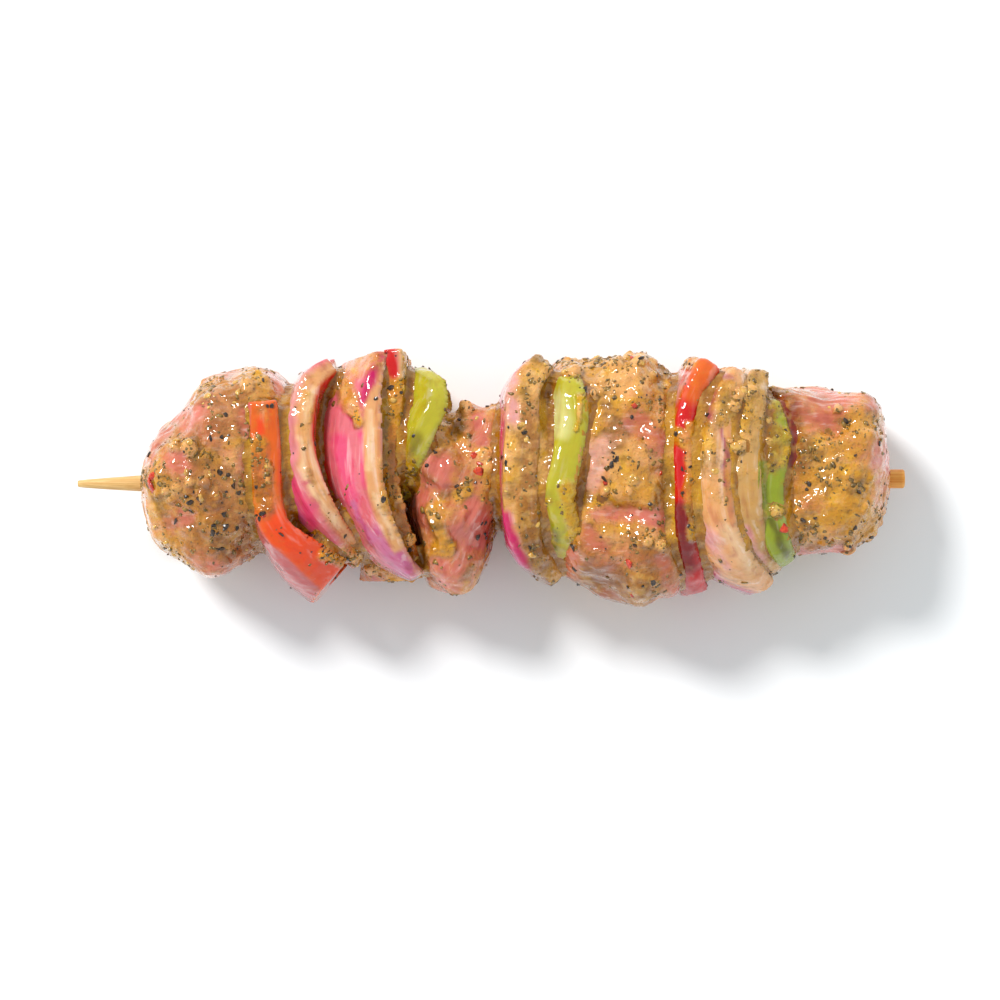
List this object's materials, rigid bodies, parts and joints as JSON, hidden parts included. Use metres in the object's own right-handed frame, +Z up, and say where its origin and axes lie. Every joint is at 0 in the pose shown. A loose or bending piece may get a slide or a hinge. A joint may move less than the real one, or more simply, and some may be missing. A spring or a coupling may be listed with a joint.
{
  "type": "beef kebab skewer",
  "caption": "Raw marinated beef kebab lying flat: beef chunks, red and green bell pepper and red onion threaded on a round bamboo stick.",
  "frame": {"origin": "on the surface that the kebab lies on, below the middle of its length and width", "axes": "+X along the stick, away from its slim point; +Z up"},
  "size_m": [0.2032, 0.0629, 0.0424],
  "materials": {
    "bamboo": "smooth bare bamboo with fine lengthwise fibres",
    "beef": "raw beef under a wet ochre marinade with cracked pepper and herbs",
    "onion": "wet translucent red onion, magenta skin side and pale cut edges",
    "red_pepper": "wet glossy red bell pepper with orange cut flesh",
    "green_pepper": "wet glossy green bell pepper with pale cut flesh"
  },
  "bodies": {
    "root": {"skewer": "bamboo", "beef_1": "beef", "beef_2": "beef", "beef_3": "beef", "beef_4": "beef", "onion_1_outer": "onion", "onion_1_inner": "onion", "onion_2": "onion", "onion_3_outer": "onion", "onion_3_inner": "onion", "red_pepper_1": "red_pepper", "red_pepper_2": "red_pepper", "red_pepper_3": "red_pepper", "green_pepper_1": "green_pepper", "green_pepper_2": "green_pepper", "green_pepper_3": "green_pepper"}
  },
  "joints": []
}
